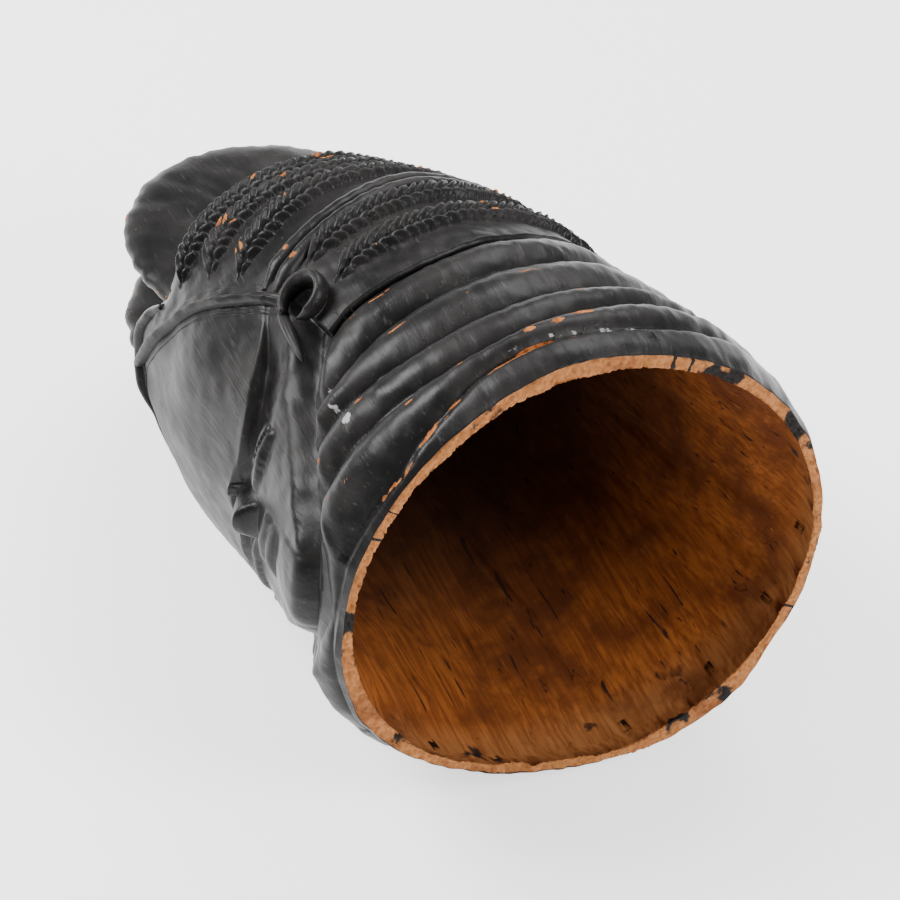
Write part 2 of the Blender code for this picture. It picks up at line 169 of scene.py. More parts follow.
def plainNormal(angle, arc):
    sideStep, upStep = 0.3, 0.0006
    over = plainPoint(angle + sideStep, arc) - plainPoint(angle - sideStep, arc)
    low, high = np.clip(arc - upStep, 0, None), np.clip(arc + upStep, None, fineArc[-1])
    up = plainPoint(angle, high) - plainPoint(angle, low)
    normal = np.cross(over, up)
    return normal / np.maximum(np.linalg.norm(normal, axis=-1, keepdims=True), 1e-12)


# Wall and hollow
hollowForm = {
    "wallLeft": 0.0095, "wallRight": 0.0065, "wallEnds": 0.0075, "wallGain": 0.0060, "gainHeight": 0.060,
    "crownWall": 0.043, "rows": 36, "endTurn": 88.5, "firstRow": 0.15,
    "gouges": 230, "seed": 21,
}
rimForm = {
    # The outline against the plain oval, in mm, by signed angle.
    "wear": [(-180, 0), (-165, 0), (-150, 1), (-130, 6), (-114, 5), (-98, 0), (-80, -3), (-60, -2),
             (-44, 1), (-28, 4), (-12, 2), (8, -2), (28, -4), (52, -3), (70, 0), (84, 2), (105, 0),
             (148, -1), (180, 0)],
    "wearHeight": 0.045, "rows": 8, "roughness": 0.0007, "lowest": 0.0009, "outerEdge": 0.0012,
    # Scoops broken out: angle, width in degrees and depth in mm.
    "chips": [(-66, 11, 3.0), (-74, 8, 4.5), (-88, 12, 3.0), (-38, 4.5, 2.0), (118, 5, 1.8)],
}


def wallAt(angles):
    turn = np.radians(angles)
    left, right = np.clip(np.sin(turn), 0, 1) ** 2, np.clip(-np.sin(turn), 0, 1) ** 2
    return (hollowForm["wallEnds"] + left * (hollowForm["wallLeft"] - hollowForm["wallEnds"])
            + right * (hollowForm["wallRight"] - hollowForm["wallEnds"]))


def wallRing(angles, level, share=1.0):
    # A ring inside the wall: share 1 is the hollow's own skin, level runs 0 to 1 up the hollow.
    height = level * (head["height"] - hollowForm["crownWall"] * share)
    _, halfWidth, halfDepth, _ = headSection(np.interp(level * head["height"], fineHeights, fineStations))
    middle = headSection(np.interp(height, fineHeights, fineStations))[3]
    fading = 1 - ease(height, 0, rimForm["wearHeight"])
    kept = np.clip(-smoothLine(rimForm["wear"], angles), 0, None) * 0.7 * mm * fading
    gained = hollowForm["wallGain"] * ease(height, 0, hollowForm["gainHeight"])
    thick = share * (wallAt(angles) + kept + gained)
    turn = np.radians(angles)
    return np.stack([halfWidth * (1 - thick / head["rimHalfWidth"]) * np.sin(turn),
                     middle - halfDepth * (1 - thick / head["rimHalfDepth"]) * np.cos(turn),
                     height + 0 * turn], axis=-1)


def hiddenRings(seam):
    # The faces where neck and head meet inside the wood, from the seam up to the crown.
    depth, clearance, highest = 0.8, 0.006, 0.985
    seamHeights = smoothLine(seam, fromFace(headAngles)) * mm
    start = (seamHeights + clearance) / (head["height"] - depth * hollowForm["crownWall"])
    return [wallRing(headAngles, start + (highest - start) * t, depth) for t in (0, 0.2, 0.4, 0.6, 0.8, 1.0)]


def chipDepth(angles):
    depth = np.zeros_like(angles)
    for place, wide, deep in rimForm["chips"]:
        depth = np.maximum(depth, deep * mm * roundRoll((angles - place), wide * 0.62))
    return depth


def rimRings(skin, nick):
    # Rough rings across the sawn rim, outside to inside. The skin's first ring is lifted to meet them.
    rim = skin[0] * np.array([1, 1, 0])
    inner = wallRing(headAngles, 0 * headAngles)
    roughness = rimForm["roughness"]
    lift = roughness * waves(rim, 0.035, 11)
    rings = []
    for step in range(rimForm["rows"]):
        share = (step + 0.5) / rimForm["rows"]
        ring = rim * (1 - share) + inner * share
        rough = roughness * waves(ring, 0.004, 12) + roughness * waves(ring, 0.011, 13)
        ring[:, 2] = rimForm["lowest"] + lift + np.abs(rough) + nick * (0.25 + 0.75 * share)
        rings.append(ring)
    skin[0, :, 2] = np.maximum(skin[0, :, 2], rimForm["outerEdge"] + 0.3 * nick + np.abs(lift))
    return np.array(rings)


def gougeMarks(angle, height):
    # Long shallow cuts of the gouge inside the hollow, over a soft waviness.
    rng = np.random.default_rng(hollowForm["seed"])
    turn = np.radians(angle)
    total = 0.0005 * np.sin(turn * 23 + 1.7 * np.sin(height * 40) + 2.1 * np.sin(height * 17 + turn * 2))
    total += 0.0004 * np.sin(height * 160 + 2.5 * np.sin(turn * 5) + 1.1 * np.sin(turn * 13))
    for _ in range(hollowForm["gouges"]):
        place, level = rng.uniform(-180, 180), rng.uniform(0.01, 0.28)
        long, wide, lean = rng.uniform(0.016, 0.060), rng.uniform(0.8, 2.6), rng.uniform(-90, 90)
        off = (angle - place - lean * (height - level) + 180) % 360 - 180
        along = (height - level) / long
        total += rng.uniform(0.0005, 0.0016) * roundRoll(off, wide) * np.clip(1 - along ** 2, 0, None)
    return total


def hollowRings(nick):
    # Rings up the hollow to its end, moved outwards where the gouge cut.
    rings = []
    first = hollowForm["firstRow"]
    for row in range(hollowForm["rows"]):
        turn = math.radians(hollowForm["endTurn"]) * (row + first) / (hollowForm["rows"] - 1 + first)
        ring = wallRing(headAngles, math.sin(turn) + 0 * headAngles)
        ring[:, 2] += (1 - ease(row, 0, 3)) * nick
        rings.append(ring)
    skin = np.array(rings)
    middle = np.broadcast_to(skin[..., 1].mean(1, keepdims=True), skin.shape[:2])
    way = skin - np.stack([0 * skin[..., 0], middle, skin[..., 2]], axis=-1)
    way = way / np.maximum(np.linalg.norm(way, axis=-1, keepdims=True), 1e-9)
    gouge = gougeMarks(np.broadcast_to(headAngles, skin.shape[:2]), skin[..., 2])
    fade = ease(skin[..., 2], 0.002, 0.012) * (1 - 0.6 * ease(skin[..., 2], 0.27, 0.30))
    return skin + way * (gouge * fade)[..., None]


# Neck rings and jaw
jaw = {
    "line": [(0, 18), (10, 24), (20, 47), (27.5, 69), (35, 93), (43.5, 114.5), (51, 132)],
    "depth": 0.0100, "grooveWidth": 0.0085, "endAngle": 51,
}
neckForm = {
    "ringDepth": 0.0076, "grooveFloor": 0.0026, "collarStep": 0.004, "rows": 84,
    "rings": [
        [(0, 7), (20, 8), (39, 6.5), (47, 10), (55, 13), (70, 19), (100, 21), (135, 31), (180, 34)],
        [(20, 42), (40, 40), (70, 35), (90, 41), (112, 52), (135, 60), (180, 66)],
        [(20, 64), (40, 65), (65, 61), (90, 66), (112, 73), (135, 82), (180, 88)],
        [(20, 78), (40, 83), (60, 93), (80, 98), (100, 105), (120, 114), (180, 124)],
        [(20, 100), (44, 112), (58, 120), (77, 124), (94, 130), (108, 137), (125, 148), (180, 158)],
    ],
    "rowCuts": [0, 0.17, 0.37, 0.57, 0.77, 1],  # shares of the rows at the rings' grooves
    # The upper edge: the jaw in front, the top ring from the ears back.
    "edge": [(0, 18), (10, 24), (20, 47), (27.5, 69), (35, 93), (43.5, 111), (52, 117), (58, 120),
             (77, 124), (94, 130), (108, 137), (125, 148), (180, 158)],
}
# Damage to the dye and the wood. Patches: angle, height in mm, half length and half width in mm.
wear = {
    "rubbed": [(55, 110.5, 5, 1.3), (62, 112.5, 7, 1.3), (66.5, 114.5, 3.5, 1.0), (61, 57.5, 4, 1.0),
               (93, 33, 5, 3.0), (86, 29, 5, 2.6), (80, 28, 4, 2.0), (99, 60, 5, 1.2), (78, 78, 4, 1.0),
               (52, 30, 3, 1.5), (-96, 30, 16, 4)],
    "chalk": [(38, 99.8, 2.2, 4.5), (40, 84.5, 2.4, 4.5), (39, 69, 2.4, 5.0), (40, 52, 4.0, 4.5)],
    # Sooty places on the rim: angle, half width in degrees and strength.
    "soot": [(-2, 13, 1.0), (116, 15, 0.9), (-40, 7, 0.8), (64, 8, 0.7), (-128, 10, 0.7), (150, 8, 0.6)],
    "sootRows": 4,
    # Cracks up from the rim: angle, and reach in mm.
    "cracks": [(31.5, 12), (107, 5), (111.5, 4), (24, 4), (-156, 5)],
    "crackStrength": 2.5,
    # Ragged bands along the groove over the collar: dye flaked off below it, and a grey film above it.
    "flaked": {"starts": (26, 36), "ends": (84, 100), "size": 0.006, "seed": 51, "ragged": (-0.7, 0.3),
               "above": -0.0014, "edge": (0.0012, 0.0032)},
    "peeled": {"starts": (60, 70), "ends": (100, 112), "size": 0.008, "seed": 52, "ragged": (-0.3, 0.6),
               "above": 0.0012, "edge": (0.0016, 0.0036)},
}


def neckRelief(angle, arc):
    # Rolls between grooves, a plain collar at the rim and a groove under the jaw.
    lines = [lineArc(line, angle) for line in neckForm["rings"]]
    depth = neckForm["ringDepth"] * (0.66 + 0.34 * ease(arc, 0.010, 0.040))
    relief = -0.45 * depth
    relief -= 0.55 * depth * (1 - np.clip((lines[0] - arc) / neckForm["collarStep"], 0, 1))
    for low, high in zip(lines[:-1], lines[1:]):
        share = (arc - low) / (high - low)
        rolled = np.sin(math.pi * np.clip(share, 0, 1)) ** 0.72 - 1
        relief = np.where((share >= 0) & (share <= 1), depth * rolled, relief)
    belowJaw = -across(jaw["line"], angle, arc)
    beside = np.clip((angle - jaw["endAngle"]) * mm * 2.2, 0, None)
    distance = np.hypot(np.clip(belowJaw, 0, None), beside)
    relief = relief - jaw["depth"] * 0.8 * (1 - ease(distance, 0, 1.6 * jaw["grooveWidth"]))
    # No groove goes through the wall.
    gained = hollowForm["wallGain"] * ease(arc, 0, hollowForm["gainHeight"])
    return np.maximum(relief, neckForm["grooveFloor"] - hollowForm["wallEnds"] - gained)


def streaks(angle, arc, lineLow, lineHigh, count, seed):
    # Patches where the dye has rubbed off, drawn out along a roll between two lines.
    rng = np.random.default_rng(seed)
    low, high = lineArc(lineLow, angle), lineArc(lineHigh, angle)
    total = np.zeros_like(arc)
    for _ in range(count):
        place, level = rng.uniform(-180, 180), rng.uniform(0.40, 0.85)
        long, wide = rng.uniform(0.002, 0.016) * rng.uniform(0.3, 1), rng.uniform(0.0006, 0.0019)
        off = np.radians(apart(angle, place)) * 0.122 / long
        up = (arc - low - (high - low) * level) / wide
        total = np.maximum(total, 1.15 - off ** 2 - up ** 2)
    return np.clip(total, 0, 1)


def spots(angle, arc, places):
    total = np.zeros_like(arc)
    for place, height, long, wide in places:
        off = np.radians(apart(angle, place)) * 0.125 / (long * mm)
        up = (arc - arcAt(height * mm)) / (wide * mm)
        total = np.maximum(total, 1.3 - off ** 2 - up ** 2)
    return np.clip(total, 0, 1)


def grooveBand(angle, arc, band):
    length = ease(fromFace(angle), *band["starts"]) * (1 - ease(fromFace(angle), *band["ends"]))
    drawnOut = np.stack([np.radians(angle) * 0.04, arc, 0 * arc], -1)
    fromGroove = arc - lineArc(neckForm["rings"][0], angle)
    width = 1 - ease(np.abs(fromGroove - band["above"]), *band["edge"])
    return length * ease(waves(drawnOut, band["size"], band["seed"]), *band["ragged"]) * width


def wornDye(angle, arc):
    worn = np.zeros_like(arc)
    for number, (low, high) in enumerate(zip(neckForm["rings"][:-1], neckForm["rings"][1:])):
        worn = np.maximum(worn, streaks(angle, arc, low, high, 22 - 4 * number, 40 + number))
    worn = 0.74 * np.maximum(worn, spots(angle, arc, wear["rubbed"]))
    return np.maximum(worn, 0.72 * grooveBand(angle, arc, wear["flaked"]))


# Face
faceForm = {
    "browLine": [(0, 126), (12, 122), (22, 127), (31, 137), (38, 147), (45, 162)],
    "browDepth": 0.0064, "browEdge": 0.0022, "browFade": 0.024, "browEnds": (32, 44),
    "noseHeight": 0.0125, "noseTipWidth": 0.022, "noseBridgeWidth": 0.007,
    "lipHeight": 0.0042, "mouthWidth": 0.030, "chinHeight": 0.0035, "chinWidth": 0.040,
    "eyeHeight": 0.0045, "eyeWidth": 0.038, "eyeSpacing": 0.068, "slitDepth": 0.0022,
    # Heights in mm: where the nose starts and fades, and middle and half height of the rest.
    "noseTop": 127, "noseLength": 30, "noseStarts": (94, 99), "noseEnds": (122, 129),
    "upperLip": (80, 5.5), "lowerLip": (70, 5.0), "chin": (42, 20), "lid": (107, 8), "slit": (104, 0.9),
}


def ridgeAt(height, place):
    middle, half = place
    return roundRoll(height - middle, half)


def faceRelief(angle, arc):
    # High forehead, brow over the cheeks, and plain small features.
    belowBrow = -across(faceForm["browLine"], angle, arc)
    aboveJaw = across(jaw["line"], angle, arc)
    depth = faceForm["browDepth"] * (1 - 0.85 * ease(angle, *faceForm["browEnds"]))
    edge = faceForm["browEdge"]
    recess = ease(belowBrow, 0, edge) * (1 - 0.8 * ease(belowBrow, 1.6 * edge, faceForm["browFade"]))
    relief = -depth * recess
    relief -= jaw["depth"] * (1 - ease(aboveJaw, 0, 1.9 * jaw["grooveWidth"])) ** 1.4
    side = np.radians(angle) * head["rimHalfDepth"]
    height = np.interp(arc, fineArc, fineHeights) / mm
    down = np.clip((faceForm["noseTop"] - height) / faceForm["noseLength"], 0, 1)
    widening = faceForm["noseTipWidth"] - faceForm["noseBridgeWidth"]
    noseHalf = 0.5 * (faceForm["noseBridgeWidth"] + widening * down)
    noseOn = ease(height, *faceForm["noseStarts"]) * (1 - ease(height, *faceForm["noseEnds"]))
    relief += noseOn * faceForm["noseHeight"] * (0.35 + 0.65 * down) * roundRoll(side, noseHalf)
    lip = roundRoll(side, 0.5 * faceForm["mouthWidth"])
    lips = ridgeAt(height, faceForm["upperLip"]) + 0.9 * ridgeAt(height, faceForm["lowerLip"])
    relief += faceForm["lipHeight"] * lip * lips
    chin = roundRoll(side, 0.5 * faceForm["chinWidth"])
    relief += faceForm["chinHeight"] * chin * ridgeAt(height, faceForm["chin"])
    lid = roundRoll(side - 0.5 * faceForm["eyeSpacing"], 0.5 * faceForm["eyeWidth"])
    relief += faceForm["eyeHeight"] * lid * ridgeAt(height, faceForm["lid"])
    slitHeight, slitHalf = faceForm["slit"]
    slit = np.exp(-((height - slitHeight - 1.5 * lid) / slitHalf) ** 2)
    return relief - faceForm["slitDepth"] * slit * (lid > 0.25)


# Hair
hair = {
    "scalpDrop": 0.0022, "crownDrop": 0.017, "crownDropWidth": 0.034,
    "hairline": [(0, 252), (6, 245), (17, 230), (26, 216), (33, 203), (41, 180), (46.5, 161), (51, 140)],
    "bandHeight": 0.0050, "bandWidth": 0.0082, "bandSink": 0.0012, "bandEnd": 48.5, "farDrop": 0.0042,
    "braidHeight": 0.0062, "braidWidth": 0.0200, "strandPitch": 0.0064,
    "braids": [
        [(28.5, 231), (42.5, 249), (55, 260), (80, 270), (110, 277), (180, 283)],
        [(37, 210), (46, 228), (56, 239.5), (75, 249), (110, 256), (180, 262)],
        [(42.5, 188), (54.5, 207), (67.5, 220), (85, 231), (110, 238), (180, 242)],
        [(56, 160), (64.5, 170), (83, 181.5), (101, 191), (123, 201), (180, 210)],
        [(57, 137), (67.5, 148), (83, 155), (99, 160.5), (117, 166), (180, 178)],
    ],
    "ridgeHeight": 0.0050, "ridgeWidth": 0.0088, "ridgeSpacing": 0.0094,
    "plainRow": [(47, 166), (58, 177), (68.5, 186), (81, 196), (102, 211), (125, 218), (180, 224)],
    "frontRoll": [(0, 267), (9, 264), (17, 256.5), (22.5, 244)], "frontRollEnd": 22,
}
ear = {
    "angle": 51.4, "height": 0.1410, "size": 0.0240, "roll": 0.0030, "stand": 0.0042, "hollow": 0.0060,
    "flap": ((45.6, 0.148), (40.6, 0.113)), "flapWidth": 0.0085, "faceEnds": 49.5,
}
tool = {"fineDepth": 0.00022, "fineSize": 0.014, "broadDepth": 0.00040, "broadSize": 0.045}


def hairGround(angle, arc):
    beyond = np.minimum(across(hair["braids"][0], angle, arc) - 0.5 * hair["braidWidth"],
                        across(hair["hairline"], angle, arc) - 2 * hair["bandWidth"])
    return -hair["scalpDrop"] - hair["crownDrop"] * ease(beyond, 0, hair["crownDropWidth"])


def carve(angle, arc):
    # How far the surface stands out from the plain form.
    onRight = ease(180 - (180 + angle) % 360, 3, 14)
    angle = fromFace(angle)
    fromHairline = across(hair["hairline"], angle, arc)
    # The right half of the hairline lies a little lower.
    nearHairline = ease(fromHairline, -0.012, 0) * (1 - ease(fromHairline, 0.03, 0.06))
    beforeEar = angle < ear["faceEnds"]
    inFace = beforeEar & (fromHairline < 0) & (across(jaw["line"], angle, arc) > 0)
    inHair = np.where(beforeEar, fromHairline >= 0, arc - lineArc(neckForm["edge"], angle) > 0)
    relief = np.where(inFace, faceRelief(angle, arc),
                      np.where(inHair, hairGround(angle, arc), neckRelief(angle, arc)))
    sunk = roundRoll(fromHairline, 0.5 * hair["bandWidth"]) * (1 - ease(angle, 46, 50))
    toEar = np.hypot(np.radians(angle - ear["angle"]) * 0.118, arc - arcAt(ear["height"]))
    shell = roundRoll(toEar, 0.5 * ear["size"] - ear["roll"])
    dropped = hair["farDrop"] * onRight * nearHairline * (angle < 49)
    return relief - hair["bandSink"] * sunk - ear["hollow"] * shell - dropped


def toolMarks(points):
    # The slightly faceted, hand-cut surface.
    return (tool["fineDepth"] * waves(points, tool["fineSize"], 3)
            + tool["broadDepth"] * waves(points, tool["broadSize"], 4))


def outerSkin(angles, arcs):
    # Carved outside at the given angles and distances; both are full grids.
    points = plainPoint(angles, arcs)
    normal = plainNormal(angles, arcs)
    relief = carve(angles, arcs)
    outward = normal * np.array([1, 1, 0])
    fading = 1 - ease(points[..., 2], 0, rimForm["wearHeight"])
    off = smoothLine(rimForm["wear"], angles) * mm * fading
    points = points + normal * relief[..., None] + outward * off[..., None]
    return points + normal * toolMarks(points)[..., None], relief


# Meshes
def makePiece(name, verts, faces, attributes):
    # A mesh object at the origin, from points in the upright head's frame.
    turn = np.array(toFloor)
    placed = np.asarray(verts) @ turn[:3, :3].T + turn[:3, 3]
    placed[:, 2] = np.maximum(placed[:, 2], 0.0)  # the flat spots it lies on
    mesh = bpy.data.meshes.new(name)
    mesh.from_pydata(placed.tolist(), [], faces)
    for key, values in attributes.items():
        layer = mesh.attributes.new(key, "FLOAT", "POINT")
        layer.data.foreach_set("value", np.asarray(values, np.float32))
    mesh.shade_smooth()
    piece = bpy.data.objects.new(name, mesh)
    bpy.context.scene.collection.objects.link(piece)
    return piece


def closedStack(rings):
    # A closed skin over a stack of rings, with a point at each end.
    count, columns = rings.shape[:2]
    verts = np.concatenate([rings.reshape(-1, 3), rings[0].mean(0)[None], rings[-1].mean(0)[None]])
    faces = []
    for row in range(count - 1):
        base = row * columns
        for col in range(columns):
            after = (col + 1) % columns
            faces.append((base + col, base + after, base + columns + after, base + columns + col))
    tail = (count - 1) * columns
    for col in range(columns):
        after = (col + 1) % columns
        faces.append((count * columns, after, col))
        faces.append((count * columns + 1, tail + col, tail + after))
    return verts, faces


def bunched(count, cuts):
    # Shares from 0 to 1 that crowd together beside each cut.
    shares = []
    for low, high in zip(cuts[:-1], cuts[1:]):
        steps = max(4, round(count * (high - low)))
        t = np.arange(steps) / steps
        crowded = (high - low) * (0.5 - 0.5 * np.cos(math.pi * t))
        shares.extend(low + crowded * 0.75 + (high - low) * t * 0.25)
    return np.array(shares + [1.0])


def neckArcs():
    # Distances up from the rim: rows follow the rings at the sides and run level under the face.
    edge = lineArc(neckForm["edge"], headAngles)
    cuts = neckForm["rowCuts"]
    rows = bunched(neckForm["rows"], cuts)
    grooves = [lineArc(line, headAngles) for line in neckForm["rings"][:-1]]
    lines = [np.zeros_like(edge)] + grooves + [edge]
    alongRings = [np.interp(rows, cuts, [line[i] for line in lines]) for i in range(len(edge))]
    level = rows[:, None] * edge[None, :]
    share = ease(np.abs(headAngles), 44, 62)[None, :]
    return np.stack(alongRings, axis=1) * share + level * (1 - share)


def makeNeck():
    # The neck rings, the rim and the whole hollow, closed by a hidden wall under the head.
    arcs = neckArcs()
    angles = np.broadcast_to(headAngles, arcs.shape)
    skin, _ = outerSkin(angles, arcs)
    nick = chipDepth(headAngles)
    rim = rimRings(skin, nick)
    hidden = np.array(hiddenRings(neckForm["edge"]))
    rings = np.concatenate([hidden[::-1], skin[::-1], rim, hollowRings(nick)])
    verts, faces = closedStack(rings)

    skinRows = slice(len(hidden), len(hidden) + len(skin))
    rimRows = slice(skinRows.stop, skinRows.stop + len(rim))
    marks = {key: np.zeros(rings.shape[:2]) for key in ("raw", "deep", "worn", "chalk", "dark")}
    marks["raw"][rimRows.start:] = 1.0
    marks["raw"][rimRows.start - 1] = 0.75
    marks["deep"][rimRows.stop:] = 1.0
    marks["worn"][skinRows] = wornDye(angles, arcs)[::-1]
    peeled = 0.9 * grooveBand(angles, arcs, wear["peeled"])
    marks["chalk"][skinRows] = np.maximum(spots(angles, arcs, wear["chalk"]), peeled)[::-1]
    for place, half, strength in wear["soot"]:
        patch = strength * roundRoll(apart(headAngles, place), half)
        marks["dark"][rimRows.start - wear["sootRows"]:rimRows.stop] += patch
    for place, reach in wear["cracks"]:
        column = round((place + 180) / 360 * head["columns"])
        cracked = (arcs[:, column] < reach * mm)[::-1]
        marks["dark"][skinRows, column] += wear["crackStrength"] * cracked
        marks["dark"][rimRows, column] += wear["crackStrength"]
    atCrown = {"raw": 1, "deep": 1, "worn": 0, "chalk": 0, "dark": 0}
    values = {key: np.concatenate([grid.reshape(-1), [0, atCrown[key]]]) for key, grid in marks.items()}
    return makePiece("neck_and_hollow", verts, [face[::-1] for face in faces], values)


# Lacing holes through the wall by the rim, where a skirt of fibre was laced on: angle, height in mm.
lacing = {
    "holes": [(-174, 17), (-153, 18), (-131, 18), (-107, 18), (-73, 13), (-58, 20), (-36, 12), (15.5, 9),
              (104, 13), (165, 22)],
    "size": (0.0046, 0.042, 0.0078),
}


def cutLacingHoles(piece):
    bpy.ops.object.select_all(action="DESELECT")
    up = Vector((0, 0, 1))
    cutters = []
    for angle, height in lacing["holes"]:
        point = Vector(plainPoint(np.array([float(angle)]), arcAt(np.array([height * mm])))[0])
        turn = math.radians(angle)
        outward = Vector((math.sin(turn), -math.cos(turn), 0))
        axes = Matrix((up.cross(outward), outward, up)).transposed().to_4x4()
        bpy.ops.mesh.primitive_cube_add(size=1.0)
        cutter = bpy.context.object
        size = Matrix.Diagonal((*lacing["size"], 1))
        cutter.data.transform(toFloor @ Matrix.Translation(point) @ axes @ size)
        cutters.append(cutter)
    for cutter in cutters:
        cutter.select_set(True)
    bpy.context.view_layer.objects.active = cutters[0]
    bpy.ops.object.join()
    cutter = bpy.context.object
    step = piece.modifiers.new("lacing", "BOOLEAN")
    step.object, step.operation, step.solver = cutter, "DIFFERENCE", "MANIFOLD"
    bpy.context.view_layer.objects.active = piece
    bpy.ops.object.modifier_apply(modifier="lacing")
    bpy.data.objects.remove(cutter)
    piece.data.materials.clear()  # the cut leaves an empty slot behind


def makeHead():
    # The face, forehead and the ground under the hair, down to the neck's upper edge.
    angle = np.abs(headAngles)
    levels = [neckForm["edge"]] + head["levels"]
    lines = [lineArc(level, angle) for level in levels] + [np.full_like(angle, fineArc[-1] * 0.996)]
    arcs = []
    for (low, high), start, end in zip(head["rowShares"], lines[:-1], lines[1:]):
        steps = round((high - low) * head["rows"])
        for step in range(steps):
            arcs.append(start + (end - start) * step / steps)
    arcs = np.array(arcs + [lines[-1]])
    angles = np.broadcast_to(headAngles, arcs.shape)
    skin, relief = outerSkin(angles, arcs)
    hidden = np.array(hiddenRings(neckForm["edge"]))
    rings = np.concatenate([hidden[::-1], skin])
    verts, faces = closedStack(rings)
    worn = np.zeros(rings.shape[:2])
    # The dye is a little thinner wherever the wood stands above the ground of the hair.
    worn[len(hidden):] = 0.15 * (relief > hairGround(np.abs(angles), arcs) - 0.001)
    return makePiece("head", verts, faces, {"worn": np.concatenate([worn.reshape(-1), [0, 0]])})


def strip(line, start, end, halfWidth, shape, step=0.00075, samples=26):
    # A raised row laid over the head along a line, from one signed angle to another.
    sink = 0.0035
    angles = np.linspace(start, end, 4000)
    arcs = lineArc(line, angles)
    path = plainPoint(angles, arcs)
    length = np.concatenate([[0], np.cumsum(np.linalg.norm(np.diff(path, axis=0), axis=1))])
    rows = max(8, round(length[-1] / step))
    s = np.linspace(0, length[-1], rows)
    angle, arc = np.interp(s, length, angles), np.interp(s, length, arcs)
    radius = np.interp(arc, fineArc, 0.5 * (fineWidths + fineDepths))
    slope = np.gradient(arc) / np.maximum(np.abs(np.radians(np.gradient(angle)) * radius), 1e-9)
    slope *= np.sign(np.gradient(angle))
    norm = np.sqrt(1 + slope ** 2)
    d = np.linspace(-1, 1, samples)[None, :] * halfWidth(s, length[-1])[:, None]
    angleD = angle[:, None] - np.degrees(slope / norm / radius)[:, None] * d
    arcD = arc[:, None] + d / norm[:, None]
    ground = carve(angleD, arcD)
    normal = plainNormal(angleD, arcD)
    points = plainPoint(angleD, arcD)
    height, worn = shape(s[:, None] + 0 * d, d, length[-1])
    points = points + normal * toolMarks(points)[..., None]
    top = points + normal * (ground + height)[..., None]
    low = points[:, ::-1] + normal[:, ::-1] * (ground[:, ::-1] - sink)[..., None]
    keep = [0, samples // 3, 2 * samples // 3, samples - 1]
    verts, faces = closedStack(np.concatenate([top, low[:, keep]], axis=1))
    wornAll = np.concatenate([worn, np.zeros((rows, len(keep)))], axis=1).reshape(-1)
    return verts, faces, np.concatenate([wornAll, [0, 0]])


def pieceFrom(name, shapes):
    # One object from several closed shapes.
    verts, faces, worn, first = [], [], [], 0
    for shapeVerts, shapeFaces, shapeWorn in shapes:
        verts.append(shapeVerts)
        faces.extend(tuple(first + i for i in face) for face in shapeFaces)
        worn.append(shapeWorn)
        first += len(shapeVerts)
    piece = makePiece(name, np.concatenate(verts), faces, {"worn": np.concatenate(worn)})
    tidy = bmesh.new()
    tidy.from_mesh(piece.data)
    bmesh.ops.recalc_face_normals(tidy, faces=tidy.faces)
    tidy.to_mesh(piece.data)
    tidy.free()
    return piece


# In a row's shape, s runs along it and d across it, positive towards the crown.
def braidWidthAt(s, length):
    fromEnd = np.minimum(s, length - s)
    return 0.60 * hair["braidWidth"] * (0.30 + 0.70 * ease(fromEnd, 0, 0.030))


def braidShape(s, d, length):
    # Two rows of slanted strands either side of a groove: long above, short and stubby below.
    width, full = hair["braidWidth"], hair["braidHeight"]
    fromEnd = np.minimum(s, length - s)
    grown = ease(fromEnd, 0, 0.030)
    along = np.where(s < 0.5 * length, s, length - s)
    wander = 0.18 * np.sin(along * 210) + 0.14 * np.sin(along * 87 + 1)
    upper = d > 0
    lean = np.where(upper, -d * 1.5, d * 0.75)
    phase = (along + lean) / hair["strandPitch"] + wander
    tooth = 0.5 + 0.5 * np.cos(2 * math.pi * phase)
    upperEdge, lowerEdge = 0.58 * width * (0.86 + 0.14 * tooth), 0.44 * width * (0.70 + 0.30 * tooth)
    share = np.abs(d) / np.maximum(np.where(upper, upperEdge, lowerEdge) * grown, 1e-6)
    belly = np.sqrt(np.clip(1 - np.clip(2 * (share - 0.42), -1, 1) ** 2, 0, 1)) * (share < 0.95)
    groove = ease(np.abs(d), 0.0002, 0.0019)
    height = full * (0.35 + 0.65 * grown) * belly * np.where(upper, 1.0, 0.86) * groove
    height = height * (0.40 + 0.60 * tooth ** 0.35)
    shift = 1e4 * length
    uneven = np.sin(along * 61 + shift) + np.sin(along * 143 + 2 * shift) + 0.6 * np.sin(along * 320)
    worn = ease(height, 0.60 * full, 0.95 * full) * (0.25 + 0.75 * ease(uneven, 1.0, 2.2))
    return height * ease(fromEnd, 0, 0.004) - 0.0006, worn


def ridgeWidthAt(s, length):
    return np.full_like(s, 0.52 * hair["ridgeWidth"])


def ridgeShape(s, d, length):
    fromEnd = np.minimum(s, length - s)
    grown = ease(fromEnd, 0, 0.018)
    half = 0.5 * hair["ridgeWidth"] * (0.45 + 0.55 * grown)
    height = hair["ridgeHeight"] * (0.4 + 0.6 * grown) * roundRoll(d, half) ** 0.8
    uneven = np.sin(fromEnd * 47 + 1) + np.sin(fromEnd * 118) + 0.7 * np.sin(fromEnd * 290)
    worn = ease(height, 0.80 * hair["ridgeHeight"], hair["ridgeHeight"]) * ease(uneven, 0.9, 2.2)
    return height - 0.0005, worn


def bandWidthAt(s, length):
    return np.full_like(s, 0.5 * hair["bandWidth"] + 0.0050)


